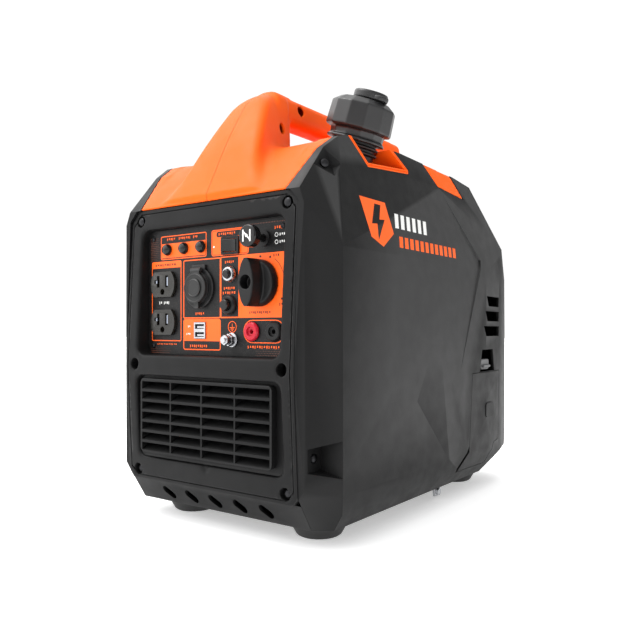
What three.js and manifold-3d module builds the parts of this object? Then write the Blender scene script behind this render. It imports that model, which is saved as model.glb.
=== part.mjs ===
// Portable inverter generator in a suitcase-style housing.
// Frame: millimetres, +X to the right as seen by a person facing the control panel,
// the control panel faces -Y, +Z up, origin on the ground under the middle of the housing.
import * as THREE from 'three';
import { mergeVertices } from 'three/addons/utils/BufferGeometryUtils.js';
import { ConvexGeometry } from 'three/addons/geometries/ConvexGeometry.js';
import Module from 'manifold-3d';

// Driving dimensions, mm
const WALL = 3;
const GAP = 0.3;
const RIM_X = 113;
const SIDE_X = 146;
const PANEL_Y = -203;
const PANEL_BACK_Y = PANEL_Y + 3;
const DECK_END_Y = 132;
const BEZEL_BOTTOM = 50;
const BEZEL_TOP = 329;
const CRANK_Z = 150;
const GROUND_Z = 6.5;
const HOUSING_BOTTOM = 25;
const CAP_TILT = THREE.MathUtils.degToRad(18);
const CAP_CENTRE = [87.7, -80, 413.2];

// Outlines of the housing, each convex and counter-clockwise
const SIDE_OUTLINE = [
  [-194, 25], [195, 25], [214, 42], [222, 56], [226, 200], [222, 273], [DECK_END_Y, 386],
  [86, 391], [-40, 394], [-138, 391], [-159, 385.5], [-178, 371.5], [-213, BEZEL_TOP],
  [-219, 167], [-213, 56],
];
const PLAN_OUTLINE = [
  [-RIM_X, -219], [RIM_X, -219], [SIDE_X, -192], [SIDE_X, 120], [141, 178], [128, 227],
  [-128, 227], [-141, 178], [-SIDE_X, 120], [-SIDE_X, -192],
];
const CROSS_OUTLINE = [
  [-129, 24], [129, 24], [140, 41], [SIDE_X, 60], [SIDE_X, 278], [115, 396],
  [-115, 396], [-SIDE_X, 278], [-SIDE_X, 60], [-140, 41],
];

const wasm = await Module();
wasm.setup();

const generator = new THREE.Group();

// ---------------------------------------------------------------- solids from geometry

function signedVolume(position, index) {
  const a = new THREE.Vector3();
  const b = new THREE.Vector3();
  const c = new THREE.Vector3();
  let sum = 0;
  for (let i = 0; i < index.length; i += 3) {
    a.fromArray(position, index[i] * 3);
    b.fromArray(position, index[i + 1] * 3);
    c.fromArray(position, index[i + 2] * 3);
    sum += a.dot(b.cross(c));
  }
  return sum;
}

// A closed geometry becomes a solid: its shared vertices merged, its faces turned outwards.
function solid(geometry) {
  const bare = geometry.clone();
  bare.deleteAttribute('normal');
  bare.deleteAttribute('uv');
  const merged = mergeVertices(bare, 1e-3);
  const position = merged.attributes.position.array;
  const index = [];
  for (let i = 0; i < merged.index.count; i += 3) {
    const [a, b, c] = [0, 1, 2].map((k) => merged.index.getX(i + k));
    if (a !== b && b !== c && c !== a) index.push(a, b, c);
  }
  if (signedVolume(position, index) < 0) index.reverse();
  return new wasm.Manifold(new wasm.Mesh({
    numProp: 3,
    vertProperties: new Float32Array(position),
    triVerts: new Uint32Array(index),
  }));
}

function geometryOf(body) {
  const mesh = body.getMesh();
  const geometry = new THREE.BufferGeometry();
  geometry.setAttribute('position', new THREE.BufferAttribute(mesh.vertProperties, 3));
  geometry.setIndex(new THREE.BufferAttribute(mesh.triVerts, 1));
  return geometry;
}

const join = (...bodies) => bodies.reduce((sum, body) => sum.add(body));
const cut = (body, ...tools) => tools.reduce((rest, tool) => rest.subtract(tool), body);
const mirrored = (body) => solid(geometryOf(body).scale(-1, 1, 1));

function piece(name, body, finish) {
  const geometry = geometryOf(body);
  geometry.computeVertexNormals();
  const mesh = new THREE.Mesh(geometry, finish.clone());
  mesh.name = name;
  generator.add(mesh);
  return mesh;
}

// ---------------------------------------------------------------- basic forms

function box(x0, x1, y0, y1, z0, z1) {
  const form = new THREE.BoxGeometry(x1 - x0, y1 - y0, z1 - z0);
  return solid(form.translate((x0 + x1) / 2, (y0 + y1) / 2, (z0 + z1) / 2));
}

const outlineShape = (outline) => (
  outline instanceof THREE.Shape
    ? outline
    : new THREE.Shape(outline.map(([u, v]) => new THREE.Vector2(u, v)))
);

function extruded(outline, depth, curveSegments) {
  return new THREE.ExtrudeGeometry(outlineShape(outline), { depth, bevelEnabled: false, curveSegments });
}

// (y, z) outline drawn out along X, (x, z) outline along Y, (x, y) outline along Z
const prismX = (outline, x0, x1, curveSegments = 4) => solid(
  extruded(outline, x1 - x0, curveSegments)
    .applyMatrix4(new THREE.Matrix4().set(0, 0, 1, x0, 1, 0, 0, 0, 0, 1, 0, 0, 0, 0, 0, 1)),
);
const prismY = (outline, y0, y1, curveSegments = 4) => solid(
  extruded(outline, y1 - y0, curveSegments).rotateX(Math.PI / 2).translate(0, y1, 0),
);
const prismZ = (outline, z0, z1, curveSegments = 4) => solid(
  extruded(outline, z1 - z0, curveSegments).translate(0, 0, z0),
);

const hull = (points) => solid(new ConvexGeometry(points.map((p) => new THREE.Vector3(...p))));

// A turned body: [radius, height] profile from axis to axis, stood on `base` along `direction`.
function turned(profile, base, direction, segments = 16) {
  const points = profile.map(([radius, height]) => new THREE.Vector2(radius, height));
  const toward = new THREE.Vector3(...direction).normalize();
  const turn = new THREE.Quaternion().setFromUnitVectors(new THREE.Vector3(0, 1, 0), toward);
  const form = new THREE.LatheGeometry(points, segments).applyQuaternion(turn);
  return solid(form.translate(...base));
}

function rod(radius, from, to, segments = 12) {
  const start = new THREE.Vector3(...from);
  const run = new THREE.Vector3(...to).sub(start);
  const profile = [[0, 0], [radius, 0], [radius, run.length()], [0, run.length()]];
  return turned(profile, from, run.toArray(), segments);
}

const alongY = (radius, [x, z], y0, y1, segments = 16) => (
  rod(radius, [x, y0, z], [x, y1, z], segments)
);

function roundedRect(u0, u1, v0, v1, r) {
  const shape = new THREE.Shape();
  shape.moveTo(u0 + r, v0);
  shape.lineTo(u1 - r, v0);
  shape.absarc(u1 - r, v0 + r, r, -Math.PI / 2, 0);
  shape.lineTo(u1, v1 - r);
  shape.absarc(u1 - r, v1 - r, r, 0, Math.PI / 2);
  shape.lineTo(u0 + r, v1);
  shape.absarc(u0 + r, v1 - r, r, Math.PI / 2, Math.PI);
  shape.lineTo(u0, v0 + r);
  shape.absarc(u0 + r, v0 + r, r, Math.PI, 1.5 * Math.PI);
  return shape;
}

// A counter-clockwise outline with every side moved inwards (negative: outwards).
function inset(outline, amount) {
  const sides = outline.map(([u, v], i) => {
    const [nextU, nextV] = outline[(i + 1) % outline.length];
    const length = Math.hypot(nextU - u, nextV - v);
    const normal = [(nextV - v) / length, (u - nextU) / length];
    return { normal, reach: normal[0] * u + normal[1] * v - amount };
  });
  return sides.map((side, i) => {
    const before = sides[(i + sides.length - 1) % sides.length];
    const [a, b] = before.normal;
    const [c, d] = side.normal;
    const det = a * d - b * c;
    return [(before.reach * d - b * side.reach) / det, (a * side.reach - before.reach * c) / det];
  });
}

// Everything beyond the plane through three points, moved inwards by `amount`.
function beyondPlane(a, b, c, amount) {
  const [p, q, r] = [a, b, c].map((point) => new THREE.Vector3(...point));
  const u = q.clone().sub(p).normalize();
  const normal = u.clone().cross(r.sub(p)).normalize();
  const basis = new THREE.Matrix4().makeBasis(u, normal.clone().cross(u), normal);
  const size = 500;
  const form = new THREE.BoxGeometry(size, size, size).translate(0, 0, size / 2);
  const corner = p.addScaledVector(normal, -amount);
  return solid(form.applyMatrix4(basis).translate(corner.x, corner.y, corner.z));
}

// ---------------------------------------------------------------- finishes

const finish = (color, roughness, metalness = 0) => (
  new THREE.MeshStandardMaterial({ color, roughness, metalness })
);
const CHARCOAL = finish(0x3a3a3b, 0.62);
const BLACK = finish(0x1c1c1d, 0.5);
const GLOSS_BLACK = finish(0x141414, 0.25);
const RUBBER = finish(0x161616, 0.85);
const ORANGE = finish(0xff6a13, 0.4);
const RED = finish(0xc8152b, 0.35);
const STEEL = finish(0xb9bcc0, 0.3, 1);
const DARK_STEEL = finish(0x5c5f63, 0.45, 1);
const ALUMINIUM = finish(0xa6a9ad, 0.4, 1);
const CAST = finish(0x8b8d90, 0.6, 0.8);
const COPPER = finish(0xb56a3a, 0.4, 1);

// ---------------------------------------------------------------- housing

function housing(amount) {
  const reach = 160;
  const [low, high] = [10, 410];
  const body = prismX(inset(SIDE_OUTLINE, amount), -reach, reach)
    .intersect(prismZ(inset(PLAN_OUTLINE, amount), low, high))
    .intersect(prismY(inset(CROSS_OUTLINE, amount), -240, 240));
  const corner = beyondPlane(
    [RIM_X, -214, 331], [SIDE_X, -190, 280], [114, -166, 386.5], amount,
  );
  const heel = beyondPlane(
    [SIDE_X, 100, 31], [RIM_X, 200, 27], [SIDE_X, 175, 52], amount,
  );
  const toe = beyondPlane(
    [SIDE_X, -192, 60], [RIM_X, -209.3, BEZEL_BOTTOM], [RIM_X, -194, HOUSING_BOTTOM], amount,
  );
  const corners = [corner, heel, toe];
  return cut(body, ...corners, ...corners.map(mirrored));
}

const HOUSING = housing(0);
const SKIN = cut(HOUSING, housing(WALL));
const BAND = cut(
  prismX(SIDE_OUTLINE, -RIM_X, RIM_X),
  prismX(inset(SIDE_OUTLINE, WALL), -RIM_X - 1, RIM_X + 1),
);

// Filler recess and rear tab, as (y, z) outlines on the upper right of the housing
const FILLER_OUTLINE = [[-116, 364], [-32, 372.5], [-31, 377], [-80, 411], [-160, 411]];
const POCKET_OUTLINE = [[-116, 364], [-25.5, 373.2], [-80, 411], [-160, 411]];
const TAB_OUTLINE = [[37, 370.6], [104, 365.7], [60, 410], [-11, 410]];
const RECESS_X = 44;

// Side details, as (y, z) outlines
const LOUVRES = [0, 1, 2].map((row) => {
  const z = 234 - 18.7 * row;
  const y = 123 - 4.7 * row;
  return [[y + 7, z], [171, z], [172, z + 12.5], [y, z + 12.5]];
});
const OIL_DOOR = [[50, 40], [128, 38], [150, 62], [168, 64], [172, 152], [80, 152], [70, 60]];
const LATCH_SLOT = [[101, 153], [152, 153], [146, 180], [108, 180]];
const SERVICE_DOOR = [[-30, 92], [86, 92], [86, 232], [68, 250], [-12, 250], [-30, 232]];
const SERVICE_SLOT = [[12, 251], [44, 251], [40, 272], [16, 272]];
const DOOR_CLEARANCE = 0.6;

// Room beside the oil door's slanted edge, which swings upwards before it swings out
const SWING_RELIEF = [[46.8, 38.6], [51, 39], [71, 59.4], [70.3, 67.2], [46.8, 43.8]];

const GRIP_Y = -120;
const GRIP_Z = 185;

// How far out the side lies at height z: upright to the shoulder line, leaning in above it.
const SHOULDER_Z = 278;
const LEAN = (SIDE_X - 115) / (396 - SHOULDER_Z);
const sideAt = (z) => SIDE_X - LEAN * Math.max(0, z - SHOULDER_Z);

// A shallow facet sunk into the side: its rim and floor are (y, z) points, the floor below the surface.
function facet(rim, floor, depth) {
  return hull([
    ...rim.flatMap(([y, z]) => [[sideAt(z), y, z], [sideAt(z) + 6, y, z]]),
    ...floor.map(([y, z]) => [sideAt(z) - depth, y, z]),
  ]);
}

function screwPockets() {
  const lower = hull([
    [122, -216, 80], [122, -216, 101], [122, -192, 80], [122, -192, 101],
    [150, -216, 74], [150, -216, 109], [150, -192, 74], [150, -192, 109],
  ]);
  const upperRim = [[115.7, -177, 369], [126.5, -166, 356.5], [126.4, -176.6, 343.6], [114.3, -193, 353]];
  const upper = hull([
    ...upperRim,
    ...upperRim.map(([x, y, z]) => [x + 5, y - 2.5, z + 2]),
    [117, -169.5, 355],
  ]);
  return join(lower, upper);
}

function screwPocketWalls() {
  const lower = box(122 - WALL, SIDE_X, -219, -192 + WALL, 70, 113);
  const upper = cut(box(RIM_X + GAP, 132, -198, -160, 338, 373), housing(12));
  return join(lower, upper).intersect(HOUSING);
}

// At the front the orange cover narrows from the rim towards the bezel, and the side fills the corner.
const HOOD_EDGE = [[RIM_X, -138, 391], [98, -213, BEZEL_TOP], [98, -190, 315]];

function besideHood(amount) {
  return beyondPlane(...HOOD_EDGE, amount).intersect(box(60, 170, -240, -125, 300, 420));
}

// The part of the skin to the right of the rim, with what both sides have in common.
function sideCover() {
  const right = box(RIM_X + GAP, 170, -240, 240, 0, 420);
  const corner = cut(
    besideHood(-GAP).intersect(box(90, RIM_X + 1, -240, -125, 310, 420)),
    prismY(inset(BEZEL_OUTLINE, -GAP), -240, -150),
  );
  let cover = SKIN.intersect(join(right, corner));
  cover = join(cover, screwPocketWalls());
  cover = cut(cover, screwPockets());
  cover = cut(cover, prismX(inset(TAB_OUTLINE, -GAP), RIM_X - 1, 135));
  const crease = facet([[-7, 211], [-58, 131], [20, 55]], [[-56, 131]], 2);
  const upperRiser = facet(
    [[44, 363], [42, SHOULDER_Z], [104, SHOULDER_Z], [110, 290]], [[103, SHOULDER_Z], [108, 290]], 2.2,
  );
  const lowerRiser = facet([[42, SHOULDER_Z], [104, SHOULDER_Z], [46, 157]], [[103, SHOULDER_Z]], 2.2);
  cover = cut(cover, crease, upperRiser, lowerRiser);
  cover = cut(cover, ...LOUVRES.map((outline) => prismX(outline, 130, 150)));
  return cover;
}

function latchSlots(outline, x) {
  return prismX(outline, x - 14, x + 10);
}

function makeSideCovers() {
  const common = sideCover();
  const fillerNotch = prismX(inset(FILLER_OUTLINE, -GAP), RECESS_X, 135);
  const oilOpening = join(
    prismX(inset(OIL_DOOR, -DOOR_CLEARANCE), 120, 160), prismX(SWING_RELIEF, 120, 160),
  );
  const right = cut(common, fillerNotch, oilOpening, latchSlots(LATCH_SLOT, SIDE_X));
  piece('side_cover_right', right, CHARCOAL);

  const serviceOpening = prismX(inset(SERVICE_DOOR, -DOOR_CLEARANCE), 120, 160);
  const gripHole = rod(7, [120, GRIP_Y, GRIP_Z], [160, GRIP_Y, GRIP_Z]);
  const left = cut(common, serviceOpening, latchSlots(SERVICE_SLOT, SIDE_X), gripHole);
  piece('side_cover_left', mirrored(left), CHARCOAL);
}

function makeDoors() {
  const icon = prismX(roundedRect(118, 142, 96, 114, 4), SIDE_X - 2, SIDE_X + 1);
  const oilDoor = join(SKIN.intersect(prismX(OIL_DOOR, 120, 160)), icon);
  piece('oil_door', oilDoor, CHARCOAL);
  const tongue = prismX(roundedRect(116, 140, 155, 168, 3), 137, 141);
  const lip = box(137, 144, 118, 138, 158, 161);
  piece('oil_door_latch', join(tongue, lip), finish(0x6f7072, 0.5));

  const serviceDoor = SKIN.intersect(prismX(SERVICE_DOOR, 120, 160));
  piece('service_door', mirrored(serviceDoor), CHARCOAL);
  const serviceTongue = prismX(roundedRect(18, 38, 253, 263, 3), 138, 142);
  const serviceLip = box(138, 145, 20, 36, 256, 259);
  piece('service_door_latch', mirrored(join(serviceTongue, serviceLip)), finish(0x6f7072, 0.5));
}

// ---------------------------------------------------------------- front

const OPENING = { x: 96, bottom: 179, top: 308, r: 9 };
const MOAT = { x: 97, bottom: 74, top: 158, r: 8 };
const BEZEL_SCREWS = [[318, 99], [169.5, 99], [59.5, 99]];

const BEZEL_BACK = PANEL_BACK_Y + 1;
const BEZEL_OUTLINE = [
  [-107, BEZEL_BOTTOM], [107, BEZEL_BOTTOM], [RIM_X, 56], [RIM_X, 318],
  [103, BEZEL_TOP], [-103, BEZEL_TOP], [-RIM_X, 318], [-RIM_X, 56],
];
const BEZEL_PROFILE = [
  [BEZEL_BACK, BEZEL_BOTTOM], [BEZEL_BACK, BEZEL_TOP],
  [-210.5, BEZEL_TOP], [-220, 167], [-214, BEZEL_BOTTOM],
];

function openingTool({ x, bottom, top, r }, amount = 0) {
  const outline = roundedRect(-x - amount, x + amount, bottom - amount, top + amount, r);
  return prismY(outline, -240, BEZEL_BACK + 5);
}

// A raised frame, hollow from behind, with one opening for the panel and one for the grille.
function makeBezel() {
  const solidFrame = prismX(BEZEL_PROFILE, -120, 120).intersect(prismY(BEZEL_OUTLINE, -240, -190));
  const innerOutline = inset(BEZEL_OUTLINE, WALL);
  const inner = join(
    prismX(inset(BEZEL_PROFILE, WALL), -120, 120),
    box(-120, 120, -206, BEZEL_BACK + 5, 0, 400),
  ).intersect(prismY(innerOutline, -240, BEZEL_BACK + 5));
  const screws = BEZEL_SCREWS.flatMap(([z, x]) => [[x, z], [-x, z]]);
  const hollow = cut(
    inner,
    openingTool(OPENING, WALL),
    openingTool(MOAT, WALL),
    ...screws.map((at) => alongY(9, at, -240, BEZEL_BACK + 5, 8)),
  );
  const wells = screws.map((at) => alongY(6, at, -240, -206, 16));
  const notch = prismY([[-8, 76], [0, 66.5], [8, 76]], -240, -213.2);
  const openings = [openingTool(OPENING), openingTool(MOAT)];
  piece('front_bezel', cut(solidFrame, hollow, notch, ...openings, ...wells), CHARCOAL);
}

const GRILLE = { x: 88.5, bottom: 80, top: 155, rows: 7, columns: 4, face: -220, back: -204 };

// The slats climb this far from the grille's face to behind its back; the flange stands behind the
// grille's frame and fills the recess around it.
const SLAT_RISE = 9;
const FLANGE = { front: -212.5, back: -209.5 };

function makeGrille() {
  const { x, bottom, top, rows, columns, face, back } = GRILLE;
  const frameWidth = 2.4;
  const bar = 2.6;
  const rib = 1.8;
  const block = prismY(roundedRect(-x, x, bottom, top, 5), face, back);
  const flange = prismY(
    roundedRect(-MOAT.x + GAP, MOAT.x - GAP, MOAT.bottom + GAP, MOAT.top - GAP, MOAT.r),
    FLANGE.front, FLANGE.back,
  );
  const rowPitch = (top - bottom - 2 * frameWidth + bar) / rows;
  const columnPitch = (2 * x - 2 * frameWidth + rib) / columns;
  const slots = [];
  for (let row = 0; row < rows; row += 1) {
    for (let column = 0; column < columns; column += 1) {
      const x0 = -x + frameWidth + column * columnPitch;
      const z0 = bottom + frameWidth + row * rowPitch;
      const height = rowPitch - bar;
      slots.push(prismX([
        [face - 5, z0 - SLAT_RISE / 3], [back + 5, z0 + SLAT_RISE],
        [back + 5, z0 + SLAT_RISE + height], [face - 5, z0 - SLAT_RISE / 3 + height],
      ], x0, x0 + columnPitch - rib));
    }
  }
  const inside = box(-x, x, -240, -190, bottom, top - frameWidth);
  piece('intake_grille', cut(join(block, flange), join(...slots).intersect(inside)), CHARCOAL);
}

// ---------------------------------------------------------------- control panel and its devices

const OUTLETS = [['outlet_upper', -71, 251.5], ['outlet_lower', -71, 212.5]];
const LAMPS = [['lamp_output', -66], ['lamp_overload', -41.5], ['lamp_oil', -17]];
const LAMP_Z = 287;
const DC_SOCKET = [-19, 246];
const USB = { x0: -26.5, x1: -10.7, z0: 196, z1: 212 };
const RESET = [22.5, 258];
const BREAKER = [21, 228.5];
const ROCKER = { x: 23.2, z: 285.5, halfWidth: 8.7, halfHeight: 6 };
const CHOKE = [66, 289];
const POWER = [60.5, 248];
const TERMINAL = [25.4, 195];
const JACKS = [['jack_red', 50.5, RED], ['jack_black', 77.5, BLACK]];
const JACK_Z = 203;

// Outlet face: a circle with flat top and bottom
function outletOutline(x, z, grow) {
  const radius = 18 + grow;
  const flat = 13 + grow;
  const corner = Math.asin(flat / radius);
  const shape = new THREE.Shape();
  shape.absarc(x, z, radius, -corner, corner);
  shape.absarc(x, z, radius, Math.PI - corner, Math.PI + corner);
  return shape;
}

// The whole face of the panel is a plate; each device passes through its own hole.
function makePanel() {
  const plate = prismY(
    roundedRect(-OPENING.x + GAP, OPENING.x - GAP, OPENING.bottom + GAP, OPENING.top - GAP, OPENING.r),
    PANEL_Y, PANEL_BACK_Y,
  );
  const { x, z, halfWidth, halfHeight } = ROCKER;
  const rockerRim = prismY(
    roundedRect(x - halfWidth - 2.6, x + halfWidth + 2.6, z - halfHeight - 2.6, z + halfHeight + 2.6, 1.5),
    PANEL_Y - 2.5, PANEL_Y + 0.5,
  );
  const chokeCollar = alongY(7.5, CHOKE, PANEL_Y - 3, PANEL_Y + 0.5);
  const holes = [
    ...OUTLETS.map(([, ox, oz]) => prismY(outletOutline(ox, oz, GAP), -240, -190, 8)),
    ...LAMPS.map(([, lx]) => alongY(4.3, [lx, LAMP_Z], -240, -190)),
    alongY(14.4, DC_SOCKET, -240, -190),
    box(USB.x0 - GAP, USB.x1 + GAP, -240, -190, USB.z0 - GAP, USB.z1 + GAP),
    alongY(6.4, RESET, -240, -190),
    alongY(7.4, BREAKER, -240, -190),
    box(x - halfWidth - GAP, x + halfWidth + GAP, -240, -190, z - halfHeight - GAP, z + halfHeight + GAP),
    alongY(3.9, CHOKE, -240, -190),
    alongY(6.4, POWER, -240, -190),
    alongY(3.4, TERMINAL, -240, -190),
    ...JACKS.map(([, jx]) => alongY(5.4, [jx, JACK_Z], -240, -190)),
  ];
  piece('control_panel', cut(join(plate, rockerRim, chokeCollar), ...holes), BLACK);
}

function makeOutlets() {
  for (const [name, x, z] of OUTLETS) {
    const face = prismY(outletOutline(x, z, 0), PANEL_Y - 3.5, PANEL_BACK_Y + 1, 8);
    const back = box(x - 16, x + 16, PANEL_BACK_Y + 0.5, -176, z - 12.5, z + 12.5);
    const slots = [
      box(x - 8.4, x - 4.4, -240, -190, z - 3, z + 9),
      box(x - 12.4, x - 4.4, -240, -190, z + 1.2, z + 4.8),
      box(x + 4.4, x + 8.4, -240, -190, z - 3, z + 9),
      alongY(3.2, [x, z - 7.6], -240, -190, 12),
    ];
    piece(name, cut(join(face, back), ...slots), GLOSS_BLACK);
  }
}

const DC_HINGE = { y: -208.4, z: DC_SOCKET[1] + 18 };

function makeDcSocket() {
  const [x, z] = DC_SOCKET;
  const flange = alongY(20, DC_SOCKET, PANEL_Y - 2.5, PANEL_Y - GAP, 32);
  const nose = alongY(15.5, DC_SOCKET, PANEL_Y - 4.5, PANEL_Y - GAP, 32);
  const barrel = alongY(14, DC_SOCKET, PANEL_Y - 1, -166);
  const bore = alongY(10.5, DC_SOCKET, -240, -172);
  const lug = box(x - 9, x + 9, PANEL_Y - 2.5, PANEL_Y - GAP, z + 10, z + 23);
  piece('dc_socket', cut(join(flange, nose, barrel, lug), bore), BLACK);

  const lid = alongY(15, [x, z], -211, PANEL_Y - 4.5 - GAP, 32);
  const crown = alongY(8, [x, z], -212.5, -210.5);
  const arm = box(x - 6, x + 6, -210.5, PANEL_Y - 4.5 - GAP, z + 8, z + 19);
  const barrelHinge = rod(2, [x - 7, DC_HINGE.y, DC_HINGE.z], [x + 7, DC_HINGE.y, DC_HINGE.z], 12);
  const pull = box(x - 1, x + 5, -210.5, PANEL_Y - 4.5 - GAP, z - 20, z - 10);
  piece('dc_socket_cap', join(lid, crown, arm, barrelHinge, pull), RUBBER);
}

function makeUsb() {
  const { x0, x1, z0, z1 } = USB;
  const block = box(x0, x1, PANEL_Y - 1.5, -186, z0, z1);
  const height = 4.6;
  const pitch = (z1 - z0) / 2;
  const slots = [0, 1].map((i) => {
    const middle = z0 + pitch * (i + 0.5);
    return box(x0 + 1.7, x1 - 1.7, -240, -190, middle - height / 2, middle + height / 2);
  });
  const tongues = [0, 1].map((i) => {
    const middle = z0 + pitch * (i + 0.5);
    return box(x0 + 3, x1 - 3, PANEL_Y, -189, middle - 1.6, middle + 0.4);
  });
  piece('usb_port', join(cut(block, ...slots), ...tongues), STEEL);
}

function makeLamps() {
  for (const [name, x] of LAMPS) {
    const profile = [[0, -12], [4, -12], [4, GAP], [6, GAP], [6, 2], [4.6, 4.6], [2.4, 5.6], [0, 5.9]];
    piece(name, turned(profile, [x, PANEL_Y, LAMP_Z], [0, -1, 0], 16), GLOSS_BLACK);
  }
}

// A push button in its collar: both turned about the same axis, the button free to travel.
function makeButton(collarName, buttonName, [x, z], collar, button, collarFinish) {
  const base = [x, PANEL_Y, z];
  const body = turned([
    [0, -16], [collar.neck, -16], [collar.neck, GAP], [collar.radius, GAP], [collar.radius, 2.5],
    [collar.radius - 1.5, collar.height], [button.radius + 0.4, collar.height],
    [button.radius + 0.4, -8], [0, -8],
  ], base, [0, -1, 0]);
  piece(collarName, body, collarFinish);
  const plunger = turned([
    [0, -4.5], [button.radius, -4.5], [button.radius, button.height - 1],
    [button.radius - 1, button.height], [0, button.height],
  ], base, [0, -1, 0]);
  piece(buttonName, plunger, BLACK);
}

function makeRocker() {
  const { x, z, halfWidth, halfHeight } = ROCKER;
  const w = halfWidth - 0.6;
  const outline = [
    [x - w, PANEL_Y + 2], [x - w, PANEL_Y - 6.2], [x + 1, PANEL_Y - 3.2], [x + w, PANEL_Y - 2.6],
    [x + w, PANEL_Y + 2], [x, PANEL_Y + 8],
  ];
  piece('eco_rocker', prismZ(outline.reverse(), z - halfHeight + 0.3, z + halfHeight - 0.3), GLOSS_BLACK);
}

function makeKnobs() {
  const chokeFront = -228;
  const [cx, cz] = CHOKE;
  const choke = turned([
    [0, 0], [9.2, 0], [10.3, 1.2], [10.3, 8], [8.5, 10], [3.4, 10.5], [3.4, 44], [0, 44],
  ], [cx, chokeFront, cz], [0, 1, 0], 20);
  piece('choke_knob', choke, BLACK);

  const [px, pz] = POWER;
  const disc = turned([
    [0, -14], [6, -14], [6, 0.5], [22, 0.5], [22, 3], [20, 7.5], [0, 9],
  ], [px, PANEL_Y, pz], [0, -1, 0], 32);
  const lens = [[9, 0], [8, 9], [5.5, 17], [2, 22], [-2, 22], [-5.5, 17], [-8, 9]];
  const ridge = hull(lens.flatMap(([u, w]) => [
    [px + u, PANEL_Y - 21, pz + w], [px - u, PANEL_Y - 21, pz - w],
    [px + u * 1.3, PANEL_Y - 4, pz + w], [px - u * 1.3, PANEL_Y - 4, pz - w],
  ]));
  const dimple = alongY(6.6, [px, pz], -240, PANEL_Y - 11, 24);
  piece('power_knob', cut(join(disc, ridge), dimple), BLACK);
}

function makeTerminals() {
  const [x, z] = TERMINAL;
  const washer = alongY(7, TERMINAL, PANEL_Y - 2, PANEL_Y - GAP);
  const nut = alongY(6, TERMINAL, PANEL_Y - 7, PANEL_Y - 1.5, 6);
  const stud = alongY(3, TERMINAL, PANEL_Y - 14, -190, 16);
  const wing = alongY(5, [x, z], PANEL_Y - 12, PANEL_Y - 8, 6);
  piece('ground_terminal', join(washer, nut, wing, stud), STEEL);
  for (const [name, jx, jackFinish] of JACKS) {
    const body = turned([
      [0, -20], [5, -20], [5, GAP], [9.2, GAP], [9.2, 2], [7.8, 3.6], [4.6, 3.6], [4.6, 1.5],
      [2.2, 1.5], [2.2, -12], [0, -12],
    ], [jx, PANEL_Y, JACK_Z], [0, -1, 0]);
    piece(name, body, jackFinish);
  }
}

// ---------------------------------------------------------------- handle

// Corners of the front and rear legs: [half width, y, z], front face first. The front leg's face
// is crowned along its middle.
const CROWN = [[0, -213, 330], [0, -208, 345], [0, -192, 378], [0, -169, 418], [0, -151, 446]];
const FRONT_LEG = [
  ...CROWN,
  [60, -210, 330], [56, -203, 350], [46, -185, 383], [32, -161.5, 423], [22, -145, 447],
  [13, -127, 457], [12, -100, 457], [16, -107, 430], [20, -107, 384],
];
const REAR_LEG = [
  [12, 80, 457], [14, 112, 455], [17, 129, 445], [22, 152, 420], [30, 168, 386], [30, 168, 372],
  [17, 105, 430], [20, 105, 384], [20, 105, 372],
];
const LEG_MIDDLE = { front: -140, rear: 125 };

function leg(corners, middle, amount) {
  const points = corners.flatMap(([halfWidth, y, z]) => [-1, 1].map((side) => [
    side * Math.max(0, halfWidth - amount),
    y + Math.sign(middle - y) * amount,
    z > 400 ? z - amount : z - amount * 4,
  ]));
  return hull(points);
}

function handleVolume(amount) {
  const grip = prismY(
    roundedRect(-18 + amount, 18 - amount, 428 + amount, 457 - amount, 12 - amount),
    -130 + amount * 4, 130 - amount * 4,
  );
  return join(
    grip, leg(FRONT_LEG, LEG_MIDDLE.front, amount), leg(REAR_LEG, LEG_MIDDLE.rear, amount),
  );
}

function makeHandle() {
  const deckRegion = box(-RIM_X, RIM_X, -230, DECK_END_Y - GAP, BEZEL_TOP + GAP, 400);
  const deck = BAND.intersect(deckRegion);
  const tab = SKIN.intersect(prismX(TAB_OUTLINE, RIM_X - 2, 135));
  const legOpening = join(
    box(-16, 16, -160, -112, 375, 393),
    box(-14, 14, 110, DECK_END_Y - GAP - 4, 375, 393),
  );
  const underFront = prismX(inset(SIDE_OUTLINE, WALL), -RIM_X, RIM_X)
    .intersect(box(-RIM_X, RIM_X, -240, -60, 300, 400));
  const whole = cut(
    join(deck, handleVolume(0), tab, mirrored(tab)), handleVolume(WALL), legOpening, underFront,
  );
  const rearSlope = cut(box(-60, 60, DECK_END_Y, 240, 300, 420), prismX(SIDE_OUTLINE, -70, 70));
  const behind = box(-130, 130, DECK_END_Y - 0.01, 240, 300, 420);
  const edges = [besideHood(0), mirrored(besideHood(0))];
  const shaped = cut(whole, cut(behind, rearSlope), ...edges);
  const screwHoles = [[-87, 445], [-126, 416]].map(
    ([y, z]) => rod(5.2, [5, y, z], [60, y, z], 16),
  );
  const fillerHole = prismX(inset(FILLER_OUTLINE, -GAP), RECESS_X - GAP, 130);
  const rightHalf = cut(
    shaped.intersect(box(0.15, 140, -230, 200, 300, 470)), ...screwHoles, fillerHole,
  );
  piece('handle_right', rightHalf, ORANGE);
  piece('handle_left', shaped.intersect(box(-140, -0.15, -230, 200, 300, 470)), ORANGE);
}

// ---------------------------------------------------------------- fuel filler

const capAxis = [Math.sin(CAP_TILT), 0, Math.cos(CAP_TILT)];
const onCapAxis = (distance) => CAP_CENTRE.map((value, i) => value + capAxis[i] * distance);

// The vent knob stands off the middle of the cap, away from the housing.
const VENT_OFFSET = 5;
const onVentAxis = (distance) => {
  const [x, y, z] = onCapAxis(distance);
  return [x + capAxis[2] * VENT_OFFSET, y, z - capAxis[0] * VENT_OFFSET];
};

// Width of the filler recess's rim
const LIP = 4.4;

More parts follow.
